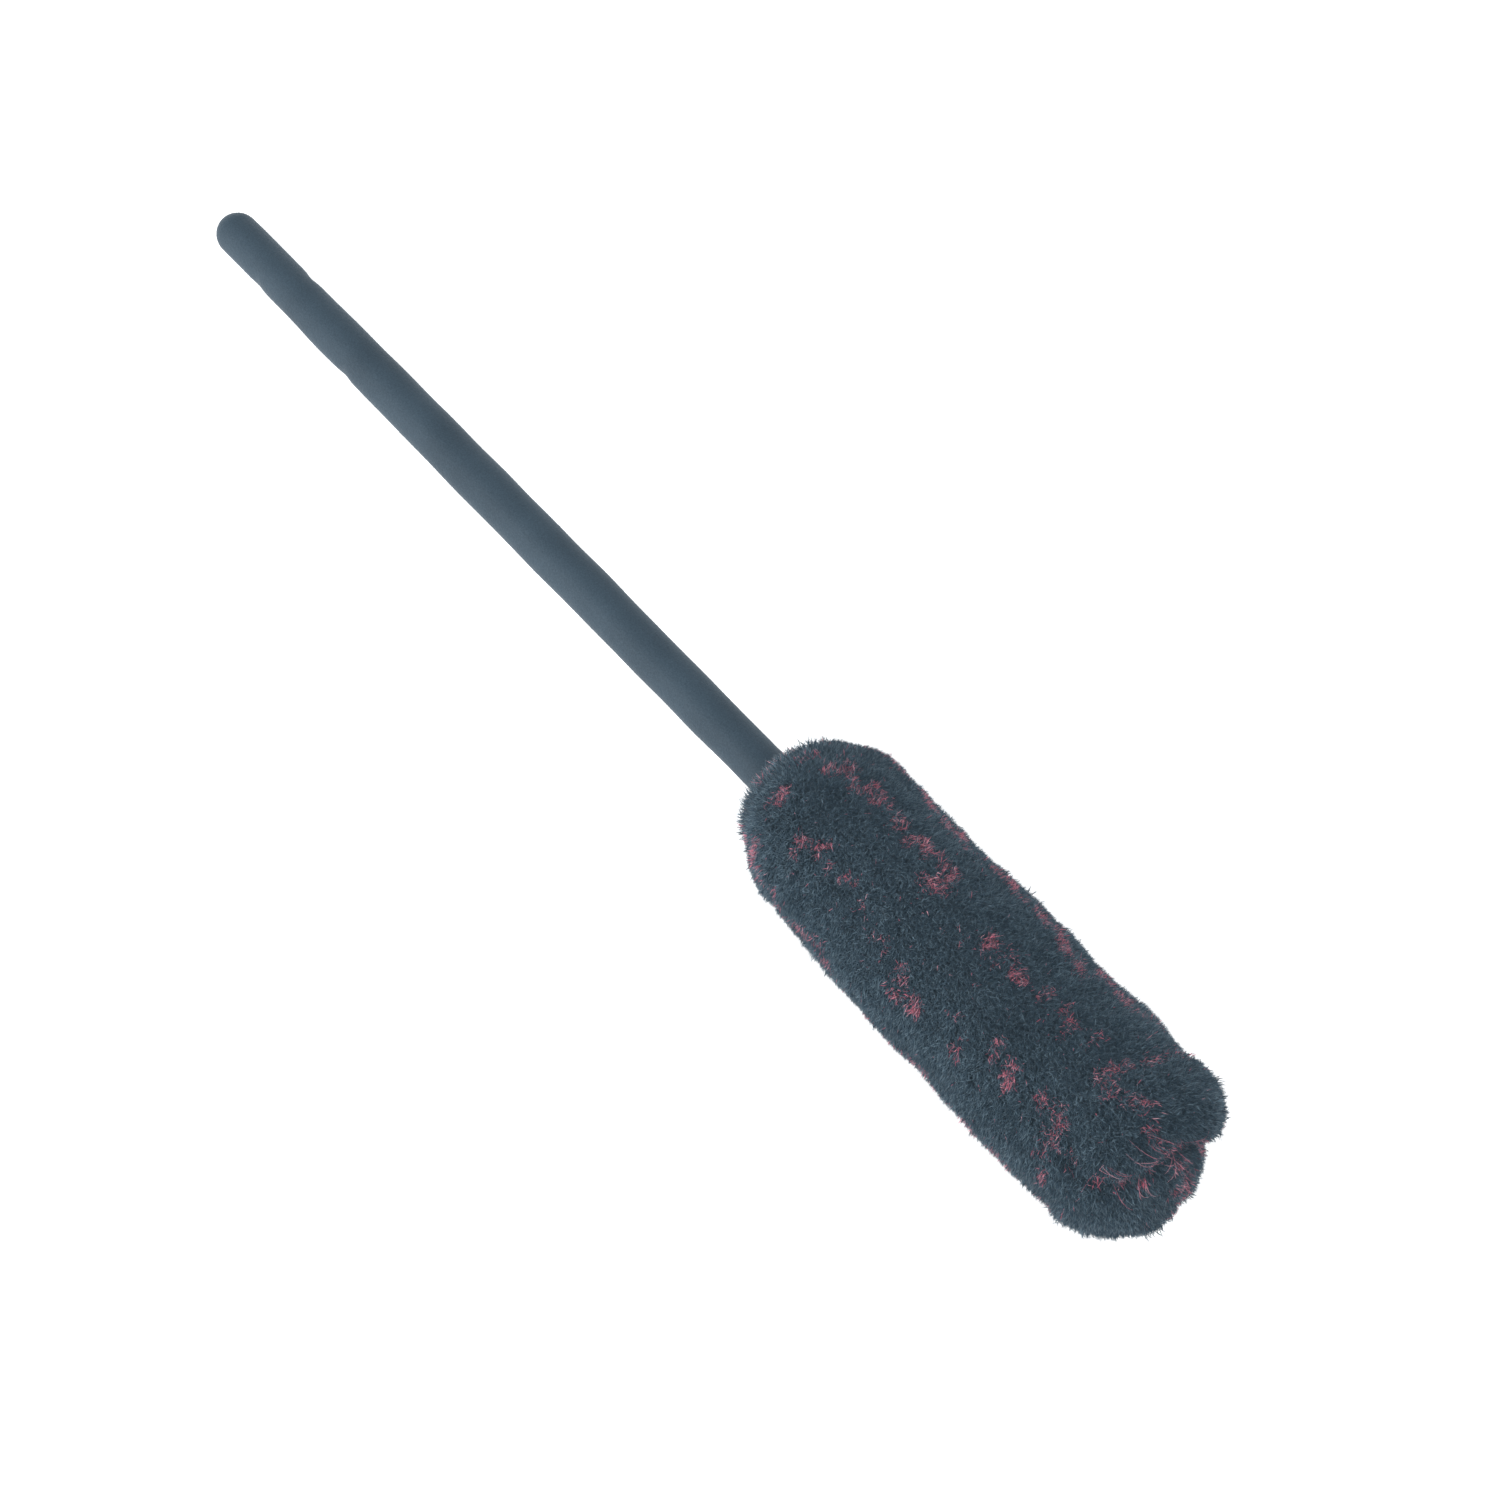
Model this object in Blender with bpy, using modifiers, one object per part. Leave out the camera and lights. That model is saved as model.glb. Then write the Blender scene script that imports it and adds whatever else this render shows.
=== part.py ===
"""Wheel brush: a plush head on a plastic core, with a foam grip over a stiff rod.

Metres, +Z up. The brush lies as it rests on a table: the domed end of the grip and the underside of
the plush touch z = 0, so the long axis climbs slightly towards the tip, which points along +X.
Every piece is built upright around a local Z axis, and an empty carries them all into that pose.
Along that axis a position is the distance from the butt of the grip to the tip of the plush.
"""

import math

import bmesh
import bpy
from mathutils import Matrix

OBJECT_NAME = "wheel_brush"
GAP = 0.0003                # between pieces that touch

# The whole brush
LENGTH = 0.457              # butt of the grip to tip of the plush
LEAN = math.radians(3.3)    # climb of the long axis above the table

# Foam grip
GRIP_R = 0.0079             # at its fullest
GRIP_END_R = 0.0074         # at the dome and at the neck
GRIP_END = 0.2970           # the open end, inside the plush

# Rod and the cap on its butt end
ROD_R = 0.0038
ROD_START = 0.0085
CAP_R = 0.0052
CAP_START = 0.0060
CAP_END = 0.0180
CAP_EDGE = 0.0014           # rounding of the cap's blind end
CHAMFER = 0.0005            # on the ends of the rod and the plugs

# Hubs and the tube that carries the plush
TUBE_R = 0.0135
TUBE_WALL = 0.0018
HUB_FLANGE = 0.0030         # thickness of the hub flanges against the ends of the tube
PLUG_DEPTH = 0.0130         # how far a hub reaches into the tube
SPOOL_FLANGE_R = 0.0105
SPOOL_FLANGE = 0.0020
SPOOL_GROOVE_R = 0.0075
SPOOL_LENGTH = 0.0077       # from the end of the spool to the main flange
TUBE_END = 0.4297
PIN_R = 0.0015
PIN_INSET = 0.0060          # from an end of the tube to the pin through it

# Rubber bumper on the tip hub
BUMPER_HEIGHT = 0.0075

# Woven backing of the plush
CLOTH = 0.0008
NECK_SEAM = 0.3119          # where the gathered neck is sewn to the body of the cover
TIP_SEAM = 0.4280           # where the tip is sewn to it
SEAM_TAPE_WIDTH = 0.0080
TIE_R = 0.0010              # radius of the cord that ties the neck down

# Plush
NECK_EDGE = 0.2845          # where the plush meets the grip
HEAD_NECK_R = 0.0286        # outer radius behind the neck shoulder
HEAD_TIP_R = 0.0300         # outer radius ahead of the tip dome
SHOULDER_DEPTH = 0.0320
TIP_DEPTH = 0.0225
TIP_FULLNESS = 1.9          # exponent of the tip's outline, 2 for an ellipse
TIP_DIMPLE = 0.0040         # depth of the hollow where the petals meet
PETALS = 4
PETAL_PARTING = 0.0006      # gap between neighbouring petals
PETAL_ROUNDING = 0.16       # share of its height that a petal loses beside a parting
PETAL_EDGE = 5              # how suddenly it does so
PETAL_HOLE = 0.0016         # radius left open where the petals meet on the axis
PETAL_TURN = math.radians(10)  # from straight down to the middle of the first petal

# Stations along the axis and radii that follow from the sizes above
SPOOL_START = GRIP_END + GAP
SPOOL_GROOVE = SPOOL_START + SPOOL_FLANGE
NECK_FLANGE = SPOOL_START + SPOOL_LENGTH
TUBE_START = NECK_FLANGE + HUB_FLANGE + GAP
TIP_FLANGE = TUBE_END + GAP
BORE_END = TIP_FLANGE + HUB_FLANGE / 2
BUMPER_BASE = TIP_FLANGE + HUB_FLANGE + GAP
BORE_R = ROD_R + GAP
PLUG_R = TUBE_R - TUBE_WALL - GAP
CLOTH_R = TUBE_R + GAP + CLOTH
PILE_BASE_R = CLOTH_R + GAP
TIP_CLOTH_HEIGHT = BUMPER_HEIGHT + GAP + CLOTH

# Facets
ROUND_STEPS = 48
FINE_STEPS = 64
PIN_STEPS = 24
PETAL_STEPS = 12
LONG_STEPS = 14             # points along the grip or the plush
DOME_STEPS = 10
CORNER_STEPS = 4
SHARP_ANGLE = math.radians(35)
CUTTER_MARGIN = 0.010       # how far a cutter passes its piece
TABLE_SIZE = (0.6, 0.2, 0.1)  # block below z = 0 that flattens the plush

FOAM_GREY = (0.060, 0.085, 0.105)
NYLON_BLACK = (0.030, 0.032, 0.036)
CORE_GREY = (0.120, 0.125, 0.130)
PIN_WHITE = (0.550, 0.550, 0.520)
RUBBER_BLACK = (0.022, 0.022, 0.024)
CLOTH_BLACK = (0.035, 0.035, 0.040)
TAPE_GREY = (0.160, 0.160, 0.165)
CORD_WHITE = (0.600, 0.590, 0.560)
PILE_BLACK = (0.030, 0.040, 0.050)


def clear_scene():
    """Start from an empty file."""
    for item in list(bpy.data.objects):
        bpy.data.objects.remove(item, do_unlink=True)


def make_collection(name):
    """A new collection linked to the scene."""
    collection = bpy.data.collections.new(name)
    bpy.context.scene.collection.children.link(collection)
    return collection


def make_material(name, color, roughness, metallic=0.0):
    """A plain Principled material."""
    material = bpy.data.materials.new(name)
    material.use_nodes = True
    shader = material.node_tree.nodes["Principled BSDF"]
    shader.inputs["Base Color"].default_value = (*color, 1.0)
    shader.inputs["Roughness"].default_value = roughness
    shader.inputs["Metallic"].default_value = metallic
    return material


def finish(item, color, roughness):
    """Give a piece its own material and hang it on the brush's axis."""
    item.data.materials.append(make_material(item.name, color, roughness))
    item.parent = AXIS
    return item


def add_mesh(name, bm, collection):
    """Turn a bmesh into a named object."""
    mesh = bpy.data.meshes.new(name)
    bm.to_mesh(mesh)
    bm.free()
    item = bpy.data.objects.new(name, mesh)
    collection.objects.link(item)
    return item


def turn_profile(name, profile, closed, steps=ROUND_STEPS):
    """Turn a profile of (radius, position) points around the axis, outer side first, tip to butt."""
    bm = bmesh.new()
    points = [bm.verts.new((radius, 0, along)) for radius, along in profile]
    following = points[1:] + points[:1] if closed else points[1:]
    for start, end in zip(points, following):
        if start.co.x > 0 or end.co.x > 0:
            bm.edges.new((start, end))
    item = add_mesh(name, bm, PARTS)
    screw = item.modifiers.new("Turn", "SCREW")
    screw.axis = "Z"
    screw.angle = math.tau
    screw.steps = steps
    screw.render_steps = steps
    screw.use_merge_vertices = True
    screw.merge_threshold = 0.00001
    screw.use_smooth_shade = True
    return item


def turned_solid(name, profile, color, roughness, steps=ROUND_STEPS):
    """A solid of revolution whose profile starts and ends on the axis."""
    return finish(turn_profile(name, profile, closed=False, steps=steps), color, roughness)


def turned_ring(name, profile, color, roughness, steps=ROUND_STEPS):
    """A hollow solid of revolution with a closed profile."""
    return finish(turn_profile(name, profile, closed=True, steps=steps), color, roughness)


def turned_cloth(name, profile, color, roughness):
    """A sheet of cloth turned around the axis, thickened inwards from its outer side."""
    item = turn_profile(name, profile, closed=False)
    solidify = item.modifiers.new("Cloth", "SOLIDIFY")
    solidify.thickness = CLOTH
    solidify.offset = -1
    solidify.use_even_offset = True
    return finish(item, color, roughness)


def arc(radius, center, start, end, steps):
    """Points of a round corner, with angles measured from the radial direction towards the tip."""
    angles = [start + (end - start) * step / steps for step in range(steps + 1)]
    return [(center[0] + radius * math.cos(a), center[1] + radius * math.sin(a)) for a in angles]


def dome(radius, base, height):
    """Points of a quarter ellipse from the axis at the top down to the rim."""
    angles = [math.pi / 2 * (1 - step / DOME_STEPS) for step in range(1, DOME_STEPS + 1)]
    rim = [(radius * math.cos(a), base + height * math.sin(a)) for a in angles]
    return [(0, base + height), *rim]


def cutter_box(name, size, center, on_axis=True):
    """A box that cuts other pieces and isn't a piece itself."""
    bm = bmesh.new()
    bmesh.ops.create_cube(bm, size=1.0, matrix=Matrix.Translation(center) @ Matrix.Diagonal((*size, 1)))
    return as_cutter(add_mesh(name, bm, CUTTERS), on_axis)


def cutter_pin(name, radius, length, along):
    """A round bar across the axis, as a cutter."""
    return as_cutter(add_mesh(name, cross_bar(radius, length, along), CUTTERS), on_axis=True)


def as_cutter(item, on_axis):
    """Hide a cutter and place it on the brush's axis or in the world."""
    item.hide_render = True
    item.display_type = "WIRE"
    if on_axis:
        item.parent = AXIS
    return item


def cross_bar(radius, length, along):
    """A cylinder that lies across the axis, along local Y."""
    bm = bmesh.new()
    place = Matrix.Translation((0, 0, along)) @ Matrix.Rotation(math.pi / 2, 4, "X")
    bmesh.ops.create_cone(
        bm, cap_ends=True, segments=PIN_STEPS, radius1=radius, radius2=radius, depth=length, matrix=place
    )
    return bm


def boolean(item, cutter, operation="DIFFERENCE"):
    """Cut a piece with the exact solver."""
    modifier = item.modifiers.new(operation.title(), "BOOLEAN")
    modifier.operation = operation
    modifier.solver = "EXACT"
    modifier.object = cutter


def grip_radius(along):
    """Outer radius of the grip, a little fuller in the middle than at its ends."""
    share = (along - GRIP_END_R) / (GRIP_END - GRIP_END_R)
    return GRIP_END_R + (GRIP_R - GRIP_END_R) * math.sin(math.pi * min(max(share, 0), 1))


def pile_radius(along):
    """Outer radius of the plush: a rounded shoulder, a slight flare and a full dome at the tip."""
    flare = (along - NECK_EDGE) / (LENGTH - NECK_EDGE)
    full = HEAD_NECK_R + (HEAD_TIP_R - HEAD_NECK_R) * flare
    back = 1 - (along - NECK_EDGE) / SHOULDER_DEPTH
    if back > 0:
        inner = GRIP_END_R + GAP
        return inner + (full - inner) * math.sqrt(max(1 - back**2, 0))
    ahead = 1 - (LENGTH - along) / TIP_DEPTH
    if ahead > 0:
        return full * max(1 - ahead**TIP_FULLNESS, 0) ** (1 / TIP_FULLNESS)
    return full


def pile_outline(start, end, steps, crowd=1.0):
    """Outer profile of the plush, tip to butt, with its points crowded towards one end."""
    shares = [(step / steps) ** crowd for step in range(steps + 1)]
    stops = [end + (start - end) * share for share in shares]
    return [(pile_radius(along), along) for along in stops]


def make_grip():
    """Foam sleeve with a domed closed end, open towards the head."""
    length = GRIP_END - GRIP_END_R
    stops = [GRIP_END - length * step / LONG_STEPS for step in range(LONG_STEPS)]
    outer = [(grip_radius(along), along) for along in stops]
    butt = arc(GRIP_END_R, (0, GRIP_END_R), 0, -math.pi / 2, DOME_STEPS)
    corner = (CAP_R - CAP_EDGE, CAP_START + CAP_EDGE)
    pocket = [
        (0, CAP_START - GAP),
        *arc(CAP_EDGE + GAP, corner, -math.pi / 2, 0, CORNER_STEPS),
        (CAP_R + GAP, CAP_END + GAP),
        (BORE_R, CAP_END + GAP),
        (BORE_R, GRIP_END),
    ]
    turned_ring("foam_grip_sleeve", outer + butt + pocket, FOAM_GREY, 0.85, steps=FINE_STEPS)


def make_rod():
    """Stiff rod that runs from the cap in the grip to the tip hub."""
    end = BORE_END - GAP
    profile = [
        (0, end),
        (ROD_R - CHAMFER, end),
        (ROD_R, end - CHAMFER),
        (ROD_R, ROD_START + CHAMFER),
        (ROD_R - CHAMFER, ROD_START),
        (0, ROD_START),
    ]
    return turned_solid("core_rod", profile, NYLON_BLACK, 0.45)


def make_rod_cap():
    """Rounded cap on the butt end of the rod, which keeps it from pushing through the foam."""
    floor = ROD_START - GAP
    corner = arc(CAP_EDGE, (CAP_R - CAP_EDGE, CAP_START + CAP_EDGE), 0, -math.pi / 2, CORNER_STEPS)
    profile = [(CAP_R, CAP_END), *corner, (0, CAP_START), (0, floor), (BORE_R, floor), (BORE_R, CAP_END)]
    turned_ring("rod_end_cap", profile, NYLON_BLACK, 0.5)


def make_neck_hub():
    """Spool for the tied neck of the cover, a flange, and a plug inside the end of the tube."""
    plug_end = TUBE_START + PLUG_DEPTH
    profile = [
        (PLUG_R - CHAMFER, plug_end),
        (PLUG_R, plug_end - CHAMFER),
        (PLUG_R, TUBE_START - GAP),
        (TUBE_R, TUBE_START - GAP),
        (TUBE_R, NECK_FLANGE),
        (SPOOL_GROOVE_R, NECK_FLANGE),
        (SPOOL_GROOVE_R, SPOOL_GROOVE),
        (SPOOL_FLANGE_R, SPOOL_GROOVE),
        (SPOOL_FLANGE_R, SPOOL_START),
        (BORE_R, SPOOL_START),
        (BORE_R, plug_end),
    ]
    return turned_ring("neck_hub", profile, CORE_GREY, 0.5)


def make_core_tube():
    """Rigid tube between the hubs, which carries the cover."""
    inner = TUBE_R - TUBE_WALL
    profile = [(TUBE_R, TUBE_END), (TUBE_R, TUBE_START), (inner, TUBE_START), (inner, TUBE_END)]
    return turned_ring("core_tube", profile, CORE_GREY, 0.5)


def make_tip_hub():
    """Blind hub that closes the far end of the tube over the end of the rod."""
    plug_end = TUBE_END - PLUG_DEPTH
    profile = [
        (0, TIP_FLANGE + HUB_FLANGE),
        (TUBE_R, TIP_FLANGE + HUB_FLANGE),
        (TUBE_R, TIP_FLANGE),
        (PLUG_R, TIP_FLANGE),
        (PLUG_R, plug_end + CHAMFER),
        (PLUG_R - CHAMFER, plug_end),
        (BORE_R, plug_end),
        (BORE_R, BORE_END),
        (0, BORE_END),
    ]
    return turned_solid("tip_hub", profile, CORE_GREY, 0.5)


def make_cross_pin(name, along, pieces):
    """Pin through the tube, a hub and the rod, in holes a little wider than itself."""
    hole = cutter_pin(f"{name}_hole", PIN_R + GAP, 2 * TUBE_R + CUTTER_MARGIN, along)
    for piece in pieces:
        boolean(piece, hole)
    pin = add_mesh(name, cross_bar(PIN_R, 2 * (TUBE_R - GAP), along), PARTS)
    finish(pin, PIN_WHITE, 0.4)


def make_bumper():
    """Soft dome between the tip hub and the cover, so the hard core never meets a wheel."""
    profile = [*dome(TUBE_R, BUMPER_BASE, BUMPER_HEIGHT), (0, BUMPER_BASE)]
    turned_solid("tip_bumper", profile, RUBBER_BLACK, 0.7)


def make_neck_backing():
    """Gathered cloth from the tied neck, over the flange, to the seam with the body's backing."""
    wall = NECK_FLANGE - GAP - CLOTH
    over_flange = arc(CLOTH, (CLOTH_R - CLOTH, wall + CLOTH), 0, -math.pi / 2, CORNER_STEPS)
    groove_r = SPOOL_GROOVE_R + GAP + CLOTH
    profile = [(CLOTH_R, NECK_SEAM), *over_flange, (groove_r, wall), (groove_r, SPOOL_GROOVE + GAP)]
    turned_cloth("neck_backing", profile, CLOTH_BLACK, 0.9)


def make_neck_tie():
    """Cord tied around the gathered neck, in the groove of the hub."""
    bpy.ops.mesh.primitive_torus_add(
        major_radius=SPOOL_GROOVE_R + GAP + CLOTH + GAP + TIE_R,
        minor_radius=TIE_R,
        major_segments=ROUND_STEPS,
        minor_segments=ROUND_STEPS // 4,
    )
    item = bpy.context.object
    for collection in list(item.users_collection):
        collection.objects.unlink(item)
    PARTS.objects.link(item)
    item.name = "neck_tie_cord"
    item.location.z = (SPOOL_GROOVE + NECK_FLANGE - CLOTH) / 2
    finish(item, CORD_WHITE, 0.8)


def make_body_backing():
    """Woven sheet wrapped around the tube, with a tape over the joint of its two long edges."""
    start = NECK_SEAM + GAP
    end = TIP_SEAM - GAP
    inner = TUBE_R + GAP
    profile = [(CLOTH_R, end), (CLOTH_R, start), (inner, start), (inner, end)]
    depth = (CLOTH_R - inner) * 6
    length = end - start + CUTTER_MARGIN
    center = (CLOTH_R, 0, (start + end) / 2)
    sheet = turned_ring("backing_sleeve", profile, CLOTH_BLACK, 0.9)
    boolean(sheet, cutter_box("backing_slot", (depth, SEAM_TAPE_WIDTH + 2 * GAP, length), center))
    tape = turned_ring("seam_tape", profile, TAPE_GREY, 0.85)
    boolean(tape, cutter_box("tape_outline", (depth, SEAM_TAPE_WIDTH, length), center), "INTERSECT")


def make_tip_backing():
    """Cloth dome over the bumper and the tip hub."""
    profile = [*dome(CLOTH_R, BUMPER_BASE, TIP_CLOTH_HEIGHT), (CLOTH_R, TIP_SEAM + GAP)]
    turned_cloth("tip_backing", profile, CLOTH_BLACK, 0.9)


def make_neck_pile(table):
    """Plush of the gathered neck: the rounded shoulder around the end of the grip."""
    grip_r = GRIP_R + GAP
    spool_r = SPOOL_FLANGE_R + 2 * GAP
    cloth_start = NECK_FLANGE - CLOTH - 2 * GAP
    outer = pile_outline(NECK_EDGE, NECK_SEAM, LONG_STEPS, crowd=0.5)
    inner = [
        (grip_r, NECK_EDGE + GAP),
        (grip_r, SPOOL_START - 2 * GAP),
        (spool_r, SPOOL_START - 2 * GAP),
        (spool_r, cloth_start),
        (PILE_BASE_R, cloth_start),
        (PILE_BASE_R, NECK_SEAM),
    ]
    item = turned_ring("pile_neck", outer[:-1] + inner, PILE_BLACK, 0.95)
    boolean(item, table)


def make_body_pile(table):
    """Plush of the body, flattened underneath where the brush lies on the table."""
    start = NECK_SEAM + GAP
    end = TIP_SEAM - GAP
    profile = pile_outline(start, end, LONG_STEPS) + [(PILE_BASE_R, start), (PILE_BASE_R, end)]
    item = turned_ring("pile_body", profile, PILE_BLACK, 0.95, steps=FINE_STEPS)
    boolean(item, table)


def petal_profile():
    """Section of the tip's plush, and how many of its points lie on the outside."""
    base = TIP_SEAM + GAP
    outside = pile_outline(base, LENGTH, LONG_STEPS, crowd=2.0)
    outside[0] = (PETAL_HOLE, LENGTH - TIP_DIMPLE)
    height = TIP_CLOTH_HEIGHT + GAP
    inside = dome(PILE_BASE_R, BUMPER_BASE, height)[:0:-1]
    return outside + [(PILE_BASE_R, base), *inside, (PETAL_HOLE, BUMPER_BASE + height)], len(outside) - 1


def make_petal(number):
    """One petal of the tip: the section swept over its sector, lower beside the partings."""
    profile, outside = petal_profile()
    sector = math.tau / PETALS
    bm = bmesh.new()
    rings = []
    for step in range(PETAL_STEPS + 1):
        side = 2 * step / PETAL_STEPS - 1
        ring = []
        for index, (radius, along) in enumerate(profile):
            lower = 1 - PETAL_ROUNDING * abs(side) ** PETAL_EDGE if index < outside else 1
            radius = max(radius * lower, PETAL_HOLE)
            if along > BUMPER_BASE:
                along = BUMPER_BASE + (along - BUMPER_BASE) * lower
            angle = side * (sector / 2 - math.asin(PETAL_PARTING / 2 / radius))
            ring.append(bm.verts.new((radius * math.cos(angle), radius * math.sin(angle), along)))
        rings.append(ring)
    for ring, following in zip(rings, rings[1:]):
        for index in range(len(profile)):
            after = (index + 1) % len(profile)
            bm.faces.new((ring[index], ring[after], following[after], following[index]))
    bm.faces.new(rings[0])
    bm.faces.new(rings[-1])
    bmesh.ops.recalc_face_normals(bm, faces=bm.faces)
    item = add_mesh(f"pile_tip_petal_{number}", bm, PARTS)
    item.rotation_euler.z = PETAL_TURN + sector * (number - 1)
    finish(item, PILE_BLACK, 0.95)


def smooth_rounds():
    """Smooth the round faces of every piece and keep its edges sharp."""
    for item in (piece for piece in PARTS.objects if piece.type == "MESH"):
        item.data.shade_smooth()
        item.data.set_sharp_from_angle(angle=SHARP_ANGLE)


def make_axis():
    """The empty that lays the upright pieces down with the tip towards +X."""
    axis = bpy.data.objects.new("brush_axis", None)
    PARTS.objects.link(axis)
    axis.rotation_euler.y = math.pi / 2 - LEAN
    reach = LENGTH * math.cos(LEAN)
    dome_overhang = GRIP_END_R * (1 - math.cos(LEAN))
    axis.location = ((dome_overhang - reach) / 2, 0, GRIP_END_R * (1 - math.sin(LEAN)))
    return axis


clear_scene()
PARTS = make_collection(OBJECT_NAME)
CUTTERS = make_collection("cutters")
AXIS = make_axis()

table_cutter = cutter_box("table_cutter", TABLE_SIZE, (0, 0, -TABLE_SIZE[2] / 2), on_axis=False)

make_grip()
make_rod_cap()
core_rod = make_rod()
neck_hub = make_neck_hub()
core_tube = make_core_tube()
tip_hub = make_tip_hub()
make_cross_pin("neck_cross_pin", TUBE_START + PIN_INSET, (core_tube, neck_hub, core_rod))
make_cross_pin("tip_cross_pin", TUBE_END - PIN_INSET, (core_tube, tip_hub, core_rod))
make_bumper()
make_neck_backing()
make_neck_tie()
make_body_backing()
make_tip_backing()
make_neck_pile(table_cutter)
make_body_pile(table_cutter)
for petal in range(1, PETALS + 1):
    make_petal(petal)
smooth_rounds()
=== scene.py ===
"""Looks of the wheel brush: a woolly plush head made of real fibres and a matte foam grip.

Metres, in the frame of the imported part. A place on the head is a station along the brush's axis,
counted from the butt of the grip, and an angle around it, counted from straight down.
"""

import math

import bpy
import numpy as np
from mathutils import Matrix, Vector


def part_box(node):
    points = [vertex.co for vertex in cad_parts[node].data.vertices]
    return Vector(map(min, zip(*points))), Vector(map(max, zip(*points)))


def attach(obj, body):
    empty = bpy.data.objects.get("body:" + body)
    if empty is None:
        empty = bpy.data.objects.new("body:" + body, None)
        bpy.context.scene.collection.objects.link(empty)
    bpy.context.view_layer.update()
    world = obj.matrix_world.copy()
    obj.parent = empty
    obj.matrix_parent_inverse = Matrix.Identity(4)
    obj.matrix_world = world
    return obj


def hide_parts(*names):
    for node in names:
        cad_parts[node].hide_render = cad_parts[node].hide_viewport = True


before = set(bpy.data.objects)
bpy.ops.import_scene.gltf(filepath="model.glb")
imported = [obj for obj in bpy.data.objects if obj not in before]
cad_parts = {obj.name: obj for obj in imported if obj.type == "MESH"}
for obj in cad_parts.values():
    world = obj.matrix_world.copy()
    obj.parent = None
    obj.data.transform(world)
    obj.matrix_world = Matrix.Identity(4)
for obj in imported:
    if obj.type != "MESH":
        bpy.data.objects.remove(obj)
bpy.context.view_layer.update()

MM = 0.001
SEED = 20

# Camera
FOCAL_LENGTH = 62.4
SENSOR = 36.0
CAMERA_TURN = math.radians(49.28)
CAMERA_HEIGHT = math.radians(65.0)
CAMERA_DISTANCE = 0.8063
CAMERA_AIM = Vector((0.0354, 0.0079, 0.0))
GLARE = (-0.012, -0.0195, -0.026)  # black levels below zero lift the darks, as stray light does

# Outline of the plush
SHOULDER_DEPTH = 32 * MM
TIP_DEPTH = 22.5 * MM
TIP_FULLNESS = 1.9
PROFILE_POINTS = 3000

# Lumps, seams and partings. A place on the tip can be given as seen from its end: down, across.
BED_DEPTH = 3.4 * MM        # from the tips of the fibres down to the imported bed
BED_CORE = 15.2 * MM        # radius of the bed's inner face
BED_LUMP = 0.35 * MM
BED_STEP = 1.2 * MM
BED_SIDES = 144
TABLE_GAP = 0.3 * MM        # between the bed and the table
PETALS = 4
PETAL_START = math.radians(-35)
LUMP = 0.6 * MM
LUMP_SIZE = 34 * MM
SMALL_LUMP_SHARE = 0.45
SMALL_LUMP_SIZE = 11 * MM
ROW_VALLEY = 0.4 * MM
ROW_VALLEY_WIDTH = 3.0 * MM
NECK_VALLEY = 2.4 * MM
NECK_VALLEY_ANGLE = math.radians(-75)
NECK_VALLEY_LEAST = 0.15    # share of its depth that the valley keeps on the far side
NECK_VALLEY_SPREAD = 0.9
NECK_FULLNESS = 0.5 * MM
NECK_FULLNESS_PLACE = 9 * MM    # before the neck's seam
NECK_FULLNESS_WIDTH = 7 * MM
BELLY = 1.0 * MM
BELLY_PLACE = 50 * MM       # past the neck's seam
BELLY_WIDTH = 14 * MM
TIP_VALLEY = 1.0 * MM
TIP_SEAM_SHIFT = -3.2 * MM
TIP_SEAM_DIP = 5.0 * MM
TIP_SEAM_DIP_ANGLE = math.radians(-160)
TIP_SEAM_WAVE = 0.6 * MM
TIP_EASE = 6 * MM           # length over which the body turns into the petals
SEAM_VALLEY_WIDTH = 2.2 * MM
PARTING_WIDTH = 2.3 * MM
PARTING_MIDDLE = np.array((-20.5, 3.0)) * MM
PARTING_FORK = np.array((5.8, -2.4)) * MM
PARTINGS = [                # start, the angle where it meets the rim, and depth
    (PARTING_MIDDLE, math.radians(346), 1.0 * MM),
    (PARTING_FORK, math.radians(30), 2.5 * MM),
    (PARTING_MIDDLE, math.radians(74), 4.2 * MM),
    (PARTING_MIDDLE, math.radians(234), 3.6 * MM),
]
PARTING_DRIFT = math.radians(-20)
TOP_LOBE = np.array((-18.0, 16.0)) * MM
TOP_LOBE_R = 12 * MM
TOP_FULLNESS = 0.8 * MM
FRONT_LOBE = np.array((8.0, -11.0)) * MM
FRONT_LOBE_R = 8 * MM
FRONT_FULLNESS = 1.5 * MM
LOW_LOBE = np.array((3.5, 18.5)) * MM
LOW_LOBE_R = 10 * MM
LOW_LOBE_DROP = 5.5 * MM
NECK_SAG = -1.2 * MM        # how much fuller the plush is on the side of the sag's angle
BODY_SAG = 0.6 * MM
SAG_EASE = 55 * MM
SAG_ANGLE = math.radians(-75)

# Rows of red tufts
ROWS = 7
FIRST_ROW = math.radians(-146)
ROW_SWING = math.radians(10)
ROW_SHIFTS = [math.radians(a) for a in (0, 8, 6, 0, 0, 7, 3)]
ROW_WAVE = 170 * MM
ROW_PHASE = 332.5 * MM
ROW_SIZES = (1.0, 1.35, 1.0, 1.0, 1.0, 1.35, 1.2)
TUFT_STEP = 6.6 * MM
TUFT_SPOTS = 5
TUFT_ACROSS = 2.1 * MM
TUFT_ALONG = 1.2 * MM
SPOT_R = 1.6 * MM
SEAM_TUFT_STEP = math.radians(15)
PARTING_TUFT_STEP = 5.5 * MM
TOP_LINE = math.radians(-177)   # a short row of tufts over the top of the tip
TOP_LINE_STEP = 4.5 * MM
TUFT_SIZES = (0.6, 1.15)
TUFT_STRENGTHS = (0.14, 0.68)   # share of a tuft's fibres that are red
YARN_RED_DEPTH = 0.1
YARN_RED_SPREAD = 0.26
STRAY_RED = 0.003           # share of red fibres away from the tufts

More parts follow.
